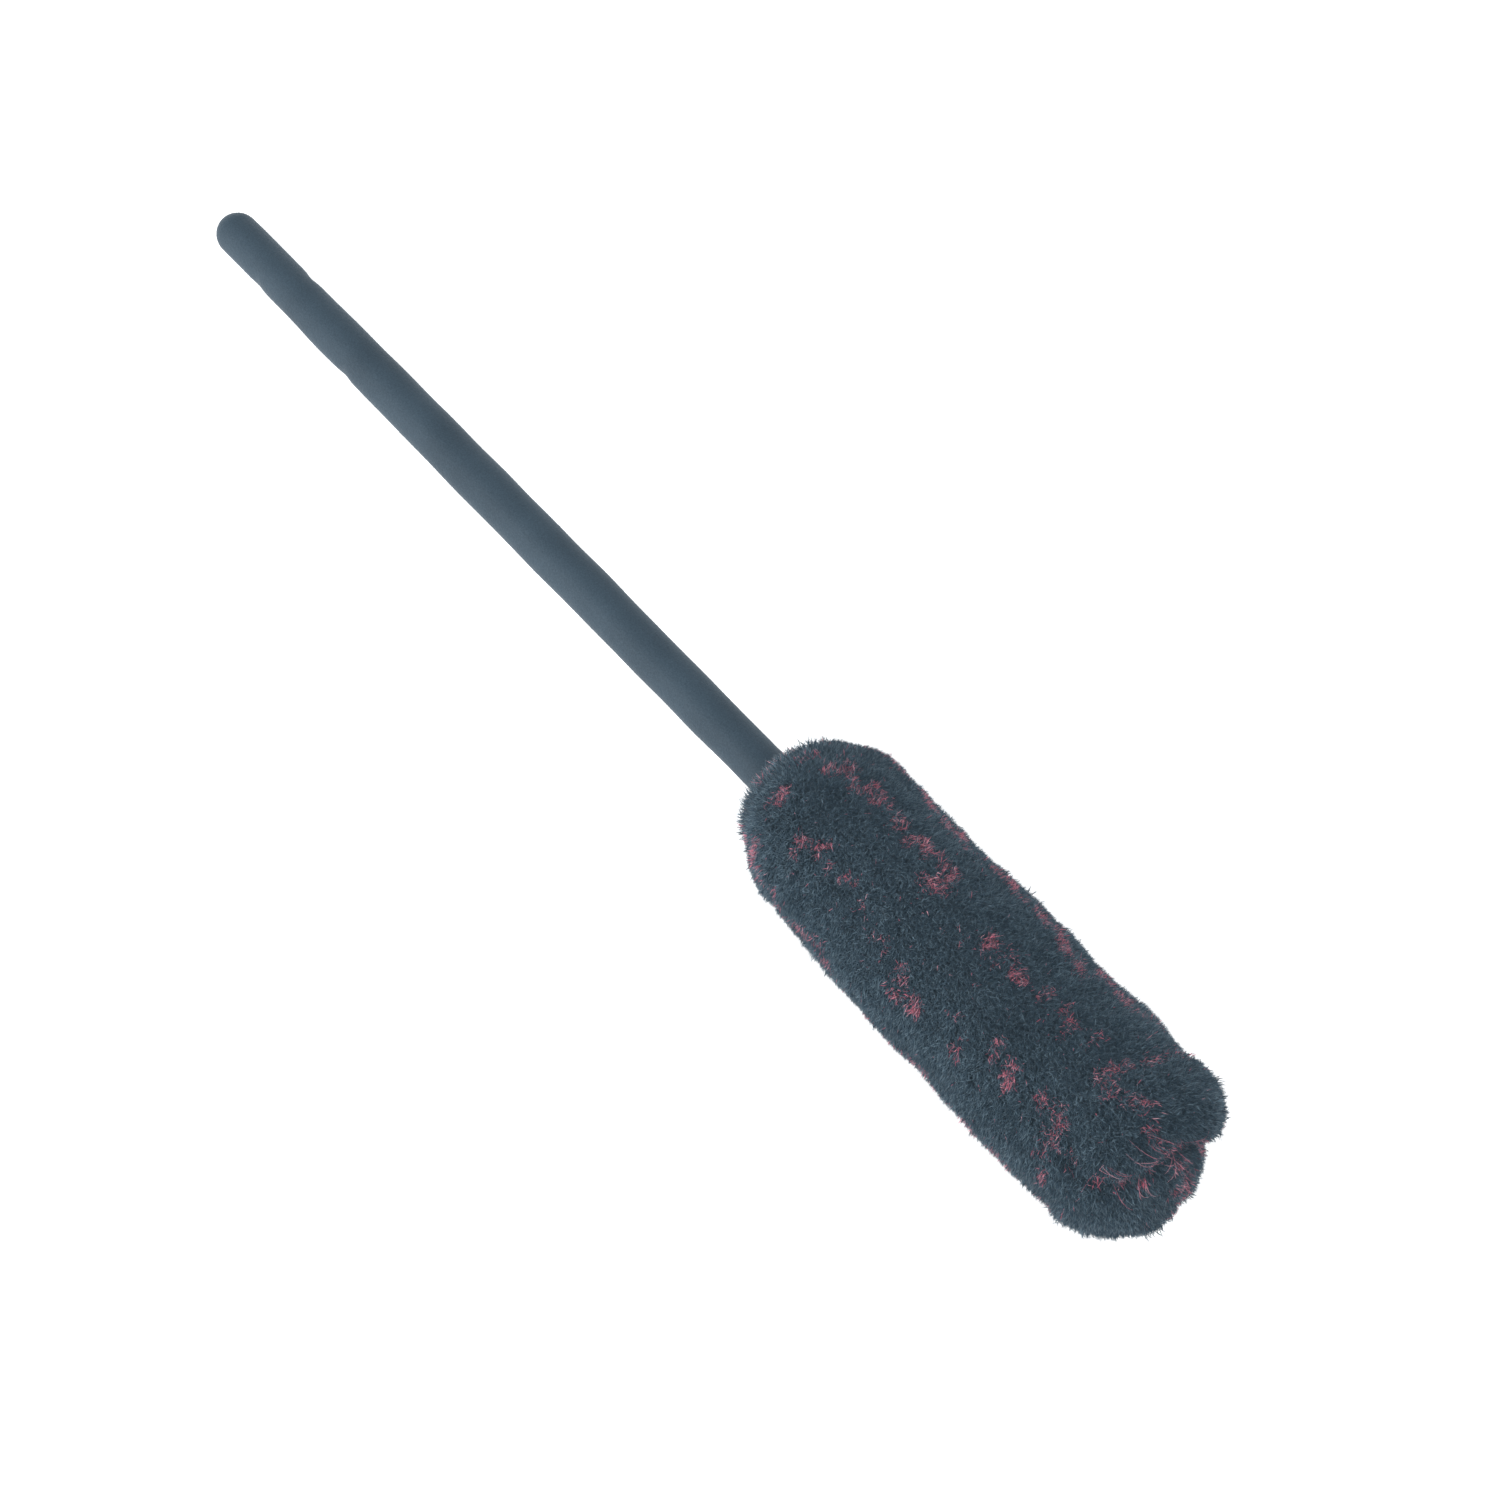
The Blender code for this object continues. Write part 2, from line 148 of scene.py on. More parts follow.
# Fibres
YARNS = 74000
FIBRES_PER_YARN = 4
FIBRE_LENGTH = 4.6 * MM
FIBRE_R = 0.13 * MM
YARN_ROOT_R = 0.6 * MM
YARN_TIP_R = 0.2 * MM
YARN_UNEVEN = 0.42 * MM
FIBRE_LENGTHS = (0.84, 1.06)
FIBRE_WIDTHS = (0.7, 1.2)
LEAN_TO_TIP = 0.35
LEAN_TO_GRIP = 0.55         # of the fibres next to the grip
TIP_LEAN_EASE = 30 * MM
GRIP_LEAN_EASE = 9 * MM
CLUMP_SIZE = 7 * MM
CLUMP_LEAN = 0.13
YARN_WANDER = 0.18
WANDER = 0.22
STRAY_SHARE = 0.05
STRAY_WANDER = 2.0
SHADE = 0.42                # from 0, the darkest, to 1
SHADE_SPREAD = 0.33
BRIGHT_SHARE = 0.08
BRIGHT_LIFT = 0.5
FUZZ_LENGTH = 1.5           # of the long fibres where the plush meets the grip
FUZZ_SHARE = 0.2
FUZZ_REACH = 5 * MM
ROOT_DEPTH = 0.92           # of a fibre's length
BELLY_SHARE = 0.56          # where along its length a fibre is thickest
PRESSED = 0.9 * MM          # height over the table under which fibres lie flattened
GOLDEN_ANGLE = math.pi * (3 - math.sqrt(5))
CURLS = 70
CURL_POINTS = 14
CURL_R = 0.065 * MM
CURL_PARTINGS = (0.15, 0.1, 0.25, 0.5)  # share of the curls on each parting

# Grip
GRIP_SIDES = 112
GRIP_RING_STEP = 0.42 * MM
DOME_RINGS = 18
FOAM_GRAIN = 0.025 * MM
FOAM_UNEVEN = 0.13 * MM
BORE_GAP = 0.3 * MM
DENT_DEPTH = 0.45 * MM
DENT_R = 3.0 * MM
DENTS = [                   # station and angle
    (28 * MM, math.radians(-95)),
    (41 * MM, math.radians(100)),
    (77 * MM, math.radians(-85)),
]

# Studio
FLOOR_SIZE = 60
FLOOR_GAP = 0.0001
KEY_PLACE = (-0.35, -1.05, 0.6)
KEY_POWER = 14.5
SIDE_PLACE = (0.7, 0.8, 0.9)
SIDE_POWER = 5
LAMP_SIZE = 0.8
SURROUNDINGS = (0.93, 0.97, 1.0)
SURROUNDINGS_STRENGTH = 0.74

# Colours, from dark to light
BLACK_PILE = ((0.011, 0.022, 0.032), (0.028, 0.054, 0.079), (0.155, 0.225, 0.275))
RED_PILE = ((0.32, 0.050, 0.085), (0.68, 0.165, 0.235), (0.86, 0.46, 0.53))
BED_SHADES = ((0.014, 0.025, 0.034), (0.030, 0.053, 0.073))
FOAM_SHADES = ((0.013, 0.026, 0.039), (0.031, 0.053, 0.074))
FLOOR_SHADES = ((0.84, 0.84, 0.84), (0.87, 0.87, 0.87))


def unit(vectors):
    """The same vectors with a length of one."""
    return vectors / np.maximum(np.linalg.norm(vectors, axis=-1, keepdims=True), 1e-9)


def node_points(name):
    """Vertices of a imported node."""
    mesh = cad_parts[name].data
    points = np.zeros(len(mesh.vertices) * 3, np.float32)
    mesh.vertices.foreach_get("co", points)
    return points.reshape(-1, 3).astype(float)


def box_middle(name):
    """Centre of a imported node's box."""
    low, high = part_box(name)
    return np.array((low + high) / 2)


def span(name):
    """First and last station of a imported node."""
    stations = (node_points(name) - BUTT) @ AXIS
    return stations.min(), stations.max()


def widest(name, station, reach=1.0 * MM):
    """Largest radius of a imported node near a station."""
    offsets = node_points(name) - BUTT
    stations = offsets @ AXIS
    radii = np.linalg.norm(offsets - stations[:, None] * AXIS, axis=1)
    return radii[np.abs(stations - station) < reach].max()


# The brush's axis runs through its two cross pins.
AXIS = unit(box_middle("tip_cross_pin") - box_middle("neck_cross_pin"))
ACROSS = np.array((0.0, 1.0, 0.0))
DOWN = np.cross(ACROSS, AXIS)
BUTT = box_middle("neck_cross_pin")
BUTT = BUTT + AXIS * span("foam_grip_sleeve")[0]

NECK_EDGE, NECK_SEAM = span("pile_neck")
TIP_SEAM = span("pile_body")[1]
TIP_END = max(span(f"pile_tip_petal_{number}")[1] for number in range(1, PETALS + 1))
NECK_R = widest("pile_body", NECK_SEAM)
TIP_R = widest("pile_body", TIP_SEAM)
GRIP_R = widest("foam_grip_sleeve", NECK_EDGE, reach=25 * MM)


def pile_radius(along):
    """Outer radius of the plush: a rounded shoulder, a slight flare and a full dome at the tip."""
    flare = (along - NECK_SEAM) / (TIP_SEAM - NECK_SEAM)
    full = NECK_R + (TIP_R - NECK_R) * flare
    back = np.clip(1 - (along - NECK_EDGE) / SHOULDER_DEPTH, 0, 1)
    ahead = np.clip(1 - (TIP_END - along) / TIP_DEPTH, 0, 1)
    shoulder = GRIP_R + (full - GRIP_R) * np.sqrt(1 - back**2)
    return shoulder * (1 - ahead**TIP_FULLNESS) ** (1 / TIP_FULLNESS)


def head_profile():
    """Stations, radii, outward slopes and share of the area along the plush, grip to tip."""
    ease = (1 - np.cos(np.linspace(0, math.pi, PROFILE_POINTS))) / 2
    along = NECK_EDGE + (TIP_END - NECK_EDGE) * ease
    radius = pile_radius(along)
    step_along = np.gradient(along)
    step_radius = np.gradient(radius)
    length = np.hypot(step_along, step_radius)
    area = np.cumsum(radius * length)
    return along, radius, step_along / length, step_radius / length, area / area[-1]


PROFILE = head_profile()


class Skin:
    """Places on the outer surface of the plush, with the directions that its fibres need."""

    def __init__(self, along, angle):
        stations, radii, rise, widen, _ = PROFILE
        self.along = along
        self.angle = angle
        self.radius = np.interp(along, stations, radii)
        rise = np.interp(along, stations, rise)[:, None]
        widen = np.interp(along, stations, widen)[:, None]
        outward = np.cos(angle)[:, None] * DOWN + np.sin(angle)[:, None] * ACROSS
        self.normal = unit(rise * outward - widen * AXIS)
        self.to_tip = unit(widen * outward + rise * AXIS)
        self.around = unit(np.cross(self.normal, self.to_tip))
        self.point = BUTT + along[:, None] * AXIS + self.radius[:, None] * outward
        self.flat = self.radius[:, None] * np.stack((np.cos(angle), np.sin(angle)), axis=1)


def soft_noise(points, size, seed, waves=14):
    """A smooth random field of about -1 to 1, summed from sine waves of one typical length."""
    draw = np.random.default_rng(seed)
    total = np.zeros(len(points))
    for _ in range(waves):
        direction = unit(draw.normal(size=3))
        length = size * draw.uniform(0.7, 1.5)
        total += np.sin(points @ direction * math.tau / length + draw.uniform(0, math.tau))
    return total / math.sqrt(waves)


def turn_between(angle, other):
    """Signed difference of two angles, from -pi to pi."""
    return (angle - other + math.pi) % math.tau - math.pi


def row_angle(row, along):
    """Where a row of red tufts runs: lengthwise, with a slow swing."""
    swing = ROW_SWING * np.sin(math.tau * (along - ROW_PHASE) / ROW_WAVE)
    return FIRST_ROW + row * math.tau / ROWS + swing + ROW_SHIFTS[row]


def tip_seam_station(angle):
    """The seam between the body and the tip's petals, which dips towards the grip on two sides."""
    dip = np.cos(2 * turn_between(angle, TIP_SEAM_DIP_ANGLE))
    return TIP_SEAM + TIP_SEAM_SHIFT - TIP_SEAM_DIP * dip + TIP_SEAM_WAVE * np.sin(5 * angle)


def rim(angle):
    """A place on the rim of the tip, seen from its end."""
    return TIP_R * np.array((math.cos(angle), math.sin(angle)))


def bump(distance, width):
    """One at zero distance, fading to nothing past the width."""
    return np.exp(-((distance / width) ** 2))


def parting_valley(flat):
    """Depth of the valleys along the partings between the petals, seen from the tip."""
    depths = []
    for start, angle, depth in PARTINGS:
        line = rim(angle) - start
        share = np.clip((flat - start) @ line / (line @ line), 0, 1)
        distance = np.linalg.norm(flat - start - share[:, None] * line, axis=1)
        depths.append(depth * bump(distance, PARTING_WIDTH))
    return np.max(depths, axis=0)


def lobe(flat, middle, width):
    """One at the middle of a lobe, seen from the tip, fading to nothing past its width."""
    return bump(np.linalg.norm(flat - middle, axis=1), width)


def petal_step(flat):
    """Height of the step across one parting, where the fullest petal stands over its neighbour."""
    start, angle, _ = PARTINGS[2]
    line = unit(rim(angle) - start)
    beyond = (flat - start) @ np.array((-line[1], line[0])) / (2 * MM)
    above = TOP_FULLNESS * lobe(flat, TOP_LOBE, TOP_LOBE_R) * np.clip(beyond, 0, 1)
    below = LOW_LOBE_DROP * lobe(flat, LOW_LOBE, LOW_LOBE_R) * np.clip(-beyond, 0, 1)
    return above - below


def on_tip(along):
    """Zero on the body and one on the petals."""
    return np.clip((along - TIP_SEAM + 2 * MM) / TIP_EASE, 0, 1)


def pile_height(skin):
    """How far the plush stands above or below its even outline."""
    rows = np.min(
        [np.abs(turn_between(skin.angle, row_angle(row, skin.along))) for row in range(ROWS)], axis=0
    )
    tip = on_tip(skin.along)
    small = SMALL_LUMP_SHARE * soft_noise(skin.point, SMALL_LUMP_SIZE, 2)
    height = LUMP * (soft_noise(skin.point, LUMP_SIZE, 1) + small)
    height -= ROW_VALLEY * bump(rows * skin.radius, ROW_VALLEY_WIDTH) * (1 - tip)
    near = bump(turn_between(skin.angle, NECK_VALLEY_ANGLE), NECK_VALLEY_SPREAD)
    notch = NECK_VALLEY_LEAST + (1 - NECK_VALLEY_LEAST) * near
    height -= NECK_VALLEY * notch * bump(skin.along - NECK_SEAM, SEAM_VALLEY_WIDTH)
    height += NECK_FULLNESS * bump(skin.along - NECK_SEAM + NECK_FULLNESS_PLACE, NECK_FULLNESS_WIDTH)
    height -= TIP_VALLEY * bump(skin.along - tip_seam_station(skin.angle), SEAM_VALLEY_WIDTH)
    height -= parting_valley(skin.flat) * tip
    height += petal_step(skin.flat) * tip
    height += FRONT_FULLNESS * lobe(skin.flat, FRONT_LOBE, FRONT_LOBE_R) * tip
    height += BELLY * bump(skin.along - NECK_SEAM - BELLY_PLACE, BELLY_WIDTH)
    sag = NECK_SAG + (BODY_SAG - NECK_SAG) * np.clip((skin.along - NECK_SEAM) / SAG_EASE, 0, 1)
    height += sag * (1 - 0.9 * tip) * np.cos(skin.angle - SAG_ANGLE)
    edge = np.clip((skin.along - NECK_EDGE) / (8 * MM), 0, 1)
    return height * edge


def tuft_centres(draw):
    """Stations, angles and sizes of the red tufts: along the rows, the tip's seam and its partings."""
    found = []
    for row in range(ROWS):
        stations = np.arange(NECK_EDGE + 1.5 * MM, TIP_SEAM - 12 * MM, TUFT_STEP)
        stations = stations + draw.normal(0, 1.3 * MM, len(stations))
        stations = stations[draw.random(len(stations)) > 0.07]
        angles = row_angle(row, stations) + draw.normal(0, 0.075, len(stations))
        found.extend((along, angle, ROW_SIZES[row]) for along, angle in zip(stations, angles))
    for angle in np.arange(0, math.tau, SEAM_TUFT_STEP) + draw.normal(0, 0.07, 24):
        if draw.random() > 0.15:
            found.append((tip_seam_station(angle) + draw.normal(0, 0.9 * MM), angle, 0.9))
    for start, end, _ in PARTINGS:
        line = rim(end) - start
        for share in np.arange(0.12, 1, PARTING_TUFT_STEP / np.linalg.norm(line)):
            flat = start + share * line + draw.normal(0, 0.9 * MM, 2)
            found.append((station_of_radius(np.hypot(*flat)), math.atan2(flat[1], flat[0]), 0.75))
        for share in (0.1, 0.5, 0.9):
            along = TIP_SEAM + 4 * MM - share * 12 * MM
            found.append((along, end + share * PARTING_DRIFT + draw.normal(0, 0.03), 0.85))
    for along in np.arange(TIP_SEAM - 1 * MM, TIP_END - 10 * MM, TOP_LINE_STEP):
        found.append((along, TOP_LINE + draw.normal(0, 0.06), 0.7))
    return np.array(found).T


def tuft_spots():
    """Centres, radii and redness of the small round spots that make up the tufts."""
    draw = np.random.default_rng(SEED + 1)
    along, angle, size = tuft_centres(draw)
    centre = Skin(np.clip(along, NECK_EDGE, TIP_END), angle)
    size = size * draw.uniform(*TUFT_SIZES, len(along))
    strength = draw.uniform(*TUFT_STRENGTHS, len(along))
    tuft = np.repeat(np.arange(len(along)), TUFT_SPOTS)
    side = draw.normal(0, TUFT_ACROSS, len(tuft)) * size[tuft]
    ahead = draw.normal(0, TUFT_ALONG, len(tuft)) * size[tuft]
    spots = centre.point[tuft] + side[:, None] * centre.around[tuft]
    spots += ahead[:, None] * centre.to_tip[tuft]
    radii = SPOT_R * size[tuft] * draw.uniform(0.6, 1.2, len(tuft))
    return spots, radii, strength[tuft]


def station_of_radius(radius):
    """Station on the tip's dome at a distance from the axis."""
    stations, radii, _, _, _ = PROFILE
    dome = stations > TIP_SEAM
    return float(np.interp(-radius, -radii[dome], stations[dome]))


def nearest_spot(points, spots, radii):
    """For each point the spot that holds it most deeply, and how deeply, one at its centre."""
    best = np.full(len(points), -9.0)
    which = np.zeros(len(points), int)
    for number, (spot, radius) in enumerate(zip(spots, radii)):
        depth = 1 - np.linalg.norm(points - spot, axis=1) / radius
        closer = depth > best
        best[closer] = depth[closer]
        which[closer] = number
    return which, best


def fibre_lean(yarn, many, draw):
    """How far each fibre leans sideways and towards the tip, for a height of one."""
    wander = np.stack([soft_noise(yarn.point, CLUMP_SIZE, seed) for seed in (3, 4)], axis=1) * CLUMP_LEAN
    wander += draw.normal(0, YARN_WANDER, wander.shape)
    stray = np.where(draw.random(len(many)) < STRAY_SHARE, STRAY_WANDER, 1.0)[:, None]
    lean = wander[many] + WANDER * stray * draw.normal(0, 1, (len(many), 2))
    from_tip = np.clip((TIP_END - yarn.along[many]) / TIP_LEAN_EASE, 0, 1)
    from_grip = np.clip((yarn.along[many] - NECK_EDGE) / GRIP_LEAN_EASE, 0, 1)
    lean[:, 1] += LEAN_TO_TIP * from_tip * from_grip - LEAN_TO_GRIP * (1 - from_grip)
    return lean


def grow_fibres():
    """Roots, bellies and tips of all fibres, with their place, shade and redness."""
    draw = np.random.default_rng(SEED)
    stations, _, _, _, area = PROFILE
    share = (np.arange(YARNS) + 0.5) / YARNS
    yarn = Skin(np.interp(share, area, stations), (np.arange(YARNS) * GOLDEN_ANGLE) % math.tau)
    spots, radii, strengths = tuft_spots()
    spot, depth = nearest_spot(yarn.point, spots, radii)
    yarn_red = depth + draw.normal(0, YARN_RED_SPREAD, YARNS) > YARN_RED_DEPTH
    uneven = draw.normal(0, 0.7, YARNS) + draw.exponential(0.6, YARNS) - 0.7
    yarn_top = pile_height(yarn) + YARN_UNEVEN * (1 + 0.5 * on_tip(yarn.along)) * uneven

    many = np.repeat(np.arange(YARNS), FIBRES_PER_YARN)
    count = len(many)
    around, to_tip, normal = yarn.around[many], yarn.to_tip[many], yarn.normal[many]
    red = yarn_red[many] & (draw.random(count) < strengths[spot][many])
    red |= draw.random(count) < STRAY_RED
    lean = fibre_lean(yarn, many, draw)
    spread = draw.normal(0, YARN_ROOT_R, (count, 2))
    gather = draw.normal(0, YARN_TIP_R, (count, 2)) - spread
    bend = draw.normal(0, 0.09, (count, 2))
    length = FIBRE_LENGTH * draw.uniform(*FIBRE_LENGTHS, count)
    fuzz = (yarn.along[many] < NECK_EDGE + FUZZ_REACH) & (draw.random(count) < FUZZ_SHARE)
    length = (length * np.where(fuzz, FUZZ_LENGTH, 1.0))[:, None]

    surface = yarn.point[many] + yarn_top[many][:, None] * normal
    root = surface + spread[:, :1] * around + spread[:, 1:] * to_tip
    root -= ROOT_DEPTH * FIBRE_LENGTH * normal
    aside = lean[:, :1] * around + lean[:, 1:] * to_tip
    direction = (normal + aside) / np.sqrt(1 + 0.6 * (lean**2).sum(axis=1))[:, None]
    tip = root + length * direction + gather[:, :1] * around + gather[:, 1:] * to_tip
    belly = root + BELLY_SHARE * (tip - root) + 0.09 * length * (normal - aside)
    belly += length * (bend[:, :1] * around + bend[:, 1:] * to_tip)
    for points in (root, belly, tip):
        lie_on_table(points, draw)
    return {
        "root": root,
        "belly": belly,
        "tip": tip,
        "width": FIBRE_R * draw.uniform(*FIBRE_WIDTHS, count),
        "shade": fibre_shades(draw, count),
        "red": red,
        "along": yarn.along[many],
        "angle": yarn.angle[many],
        "flat": yarn.flat[many],
    }


def fibre_shades(draw, count):
    """A shade from 0 to 1 for each fibre, with a share of bright ones."""
    shade = draw.normal(SHADE, SHADE_SPREAD, count) + BRIGHT_LIFT * (draw.random(count) < BRIGHT_SHARE)
    return np.clip(shade, 0, 1)


def lie_on_table(points, draw):
    """Press everything that would pass through the table flat on to it."""
    low = points[:, 2] < PRESSED
    points[low, 2] = np.clip(points[low, 2], -2 * MM, PRESSED) * 0.2 + 0.55 * MM
    points[low, 2] += draw.random(low.sum()) * 0.25 * MM


def slim_bodies(fibres, chosen):
    """A closed body for each chosen fibre: pointed at root and tip, with a ring at the belly."""
    root, belly, tip = (fibres[key][chosen] for key in ("root", "belly", "tip"))
    width = fibres["width"][chosen][:, None]
    forward = unit(tip - root)
    across = unit(np.cross(forward, np.roll(forward, 1, axis=1) + 0.01))
    other = np.cross(forward, across)
    turns = [math.tau * corner / 3 for corner in range(3)]
    ring = [belly + width * (math.cos(turn) * across + math.sin(turn) * other) for turn in turns]
    points = np.stack([root, *ring, tip], axis=1)
    faces = [(0, 2, 1), (0, 3, 2), (0, 1, 3), (1, 2, 4), (2, 3, 4), (3, 1, 4)]
    return points, faces, (0, 0.5, 0.5, 0.5, 1)


def copies_mesh(name, points, faces, along, shade):
    """One mesh of many small bodies that share a face pattern, with a shade for each body."""
    count, size, _ = points.shape
    mesh = bpy.data.meshes.new(name)
    mesh.vertices.add(count * size)
    mesh.vertices.foreach_set("co", points.astype(np.float32).ravel())
    corners = np.concatenate([np.array(face) for face in faces])
    sizes = np.array([len(face) for face in faces])
    offsets = np.arange(count)[:, None] * size
    loops = (offsets + corners).ravel()
    totals = np.tile(sizes, count)
    starts = np.concatenate([[0], np.cumsum(totals)[:-1]])
    mesh.loops.add(len(loops))
    mesh.loops.foreach_set("vertex_index", loops.astype(np.int32))
    mesh.polygons.add(len(totals))
    mesh.polygons.foreach_set("loop_start", starts.astype(np.int32))
    mesh.polygons.foreach_set("loop_total", totals.astype(np.int32))
    mesh.polygons.foreach_set("use_smooth", np.ones(len(totals), bool))
    mesh.update(calc_edges=True)
    write_attribute(mesh, "fibre_shade", np.repeat(shade, size))
    write_attribute(mesh, "fibre_along", np.tile(along, count))
    atlas(mesh, count, np.array(along)[corners], np.linspace(0, 1, len(corners)))
    return mesh


def write_attribute(mesh, name, values):
    """Store one number on every vertex."""
    mesh.attributes.new(name, "FLOAT", "POINT").data.foreach_set("value", values.astype(np.float32))


def atlas(mesh, count, up, side):
    """A texture map where every small body has a square of its own."""
    row = math.ceil(math.sqrt(count))
    number = np.arange(count)
    left = (number % row)[:, None]
    bottom = (number // row)[:, None]
    u = (left + 0.2 + 0.6 * side) / row
    v = (bottom + 0.2 + 0.6 * up) / row
    layer = mesh.uv_layers.new(name="OFBake")
    layer.data.foreach_set("uv", np.stack([u, v], axis=2).astype(np.float32).ravel())


def add_piece(name, mesh, material, node):
    """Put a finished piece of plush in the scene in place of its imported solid."""
    item = bpy.data.objects.new(name, mesh)
    bpy.context.scene.collection.objects.link(item)
    mesh.materials.append(material)
    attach(item, "root")
    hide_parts(node)


def petal_number(flat):
    """Which petal of the tip, 1 to 4, holds each place seen from the end."""
    number = np.full(len(flat), 2)
    ends = [angle for _, angle, _ in PARTINGS]
    for petal, fork in ((3, PARTING_MIDDLE), (4, PARTING_MIDDLE), (1, PARTING_FORK)):
        first, last = rim(ends[petal - 1]) - fork, rim(ends[petal % 4]) - fork
        start = math.atan2(first[1], first[0])
        width = (math.atan2(last[1], last[0]) - start) % math.tau
        turns = np.arctan2(flat[:, 1] - fork[1], flat[:, 0] - fork[0])
        number[(turns - start) % math.tau < width] = petal
    return number


def sections(fibres):
    """Name, node and mask of each section of the plush."""
    along, angle = fibres["along"], fibres["angle"]
    neck = along <= NECK_SEAM
    tip = along > TIP_SEAM
    body = ~neck & ~tip
    half = turn_between(angle, 0) < 0
    found = [("neck_1", "pile_neck", neck & half), ("neck_2", "pile_neck", neck & ~half)]
    panel = ((angle - row_angle(0, along)) % math.tau // (math.tau / ROWS)).astype(int)
    for number in range(ROWS):
        found.append((f"body_panel_{number + 1}", "pile_body", body & (panel == number)))
    petal = petal_number(fibres["flat"])
    for number in range(1, PETALS + 1):
        found.append((f"tip_petal_{number}", f"pile_tip_petal_{number}", tip & (petal == number)))
    return found


def make_fibres(black, red):
    """All the plush: black fibres in a piece for each section, red ones in their own."""
    fibres = grow_fibres()
    for name, node, chosen in sections(fibres):
        for colour, material, wanted in (("black", black, ~fibres["red"]), ("red", red, fibres["red"])):
            picked = chosen & wanted
            points, faces, along = slim_bodies(fibres, picked)
            full_name = f"pile_{name}_{colour}"
            mesh = copies_mesh(full_name, points, faces, along, fibres["shade"][picked])
            add_piece(full_name, mesh, material, node)


def make_bed(name, node, start, end, angles, material):
    """Packed lower part of the plush under the fibres, as one closed lumpy body."""
    rows = max(int((end - start) / BED_STEP), 12)
    columns = len(angles)
    closed = abs(angles[-1] - angles[0]) > math.pi * 1.5
    stations = np.linspace(start, end, rows)
    along = np.repeat(stations, columns)
    angle = np.tile(angles, rows)
    skin = Skin(along, angle)
    lower = BED_DEPTH + BED_LUMP * soft_noise(skin.point, 3.0 * MM, 8)
    outer = skin.point + (pile_height(skin) - lower)[:, None] * skin.normal
    outer[:, 2] = np.maximum(outer[:, 2], TABLE_GAP)
    core = BED_CORE * np.minimum(1, skin.radius / (BED_CORE + BED_DEPTH + 2 * MM))
    outward = np.cos(angle)[:, None] * DOWN + np.sin(angle)[:, None] * ACROSS
    inner = BUTT + np.clip(along, None, TIP_END - 13 * MM)[:, None] * AXIS + core[:, None] * outward
    points = np.concatenate([outer, inner])
    faces = []
    shell = rows * columns
    wraps = columns if closed else columns - 1
    for row in range(rows - 1):
        for column in range(wraps):
            after = (column + 1) % columns
            a, b = row * columns + column, row * columns + after
            c, d = a + columns, b + columns
            faces.append((a, b, d, c))
            faces.append((shell + a, shell + c, shell + d, shell + b))
    for column in range(wraps):
        after = (column + 1) % columns
        top = (rows - 1) * columns
        faces.append((column, shell + column, shell + after, after))
        faces.append((top + column, top + after, shell + top + after, shell + top + column))
    if not closed:
        for row in range(rows - 1):
            a, c = row * columns, (row + 1) * columns
            faces.append((a, c, shell + c, shell + a))
            b, d = a + columns - 1, c + columns - 1
            faces.append((b, shell + b, shell + d, d))
    mesh = bpy.data.meshes.new(name)
    mesh.from_pydata([tuple(point) for point in points], [], faces)
    mesh.shade_smooth()
    add_piece(name, mesh, material, node)


def make_beds(material):
    """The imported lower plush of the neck, the body and each petal."""
    full = np.linspace(0, math.tau, BED_SIDES, endpoint=False)
    make_bed("pile_neck_bed", "pile_neck", NECK_EDGE + 4 * MM, NECK_SEAM, full, material)
    make_bed("pile_body_bed", "pile_body", NECK_SEAM + 0.2 * MM, TIP_SEAM, full, material)
    sector = math.tau / PETALS
    for number in range(1, PETALS + 1):
        start = PETAL_START + sector * (number - 1)
        angles = np.linspace(start + 0.01, start + sector - 0.01, BED_SIDES // PETALS + 1)
        node = f"pile_tip_petal_{number}"
        make_bed(f"{node}_bed", node, TIP_SEAM + 0.2 * MM, TIP_END - 0.4 * MM, angles, material)


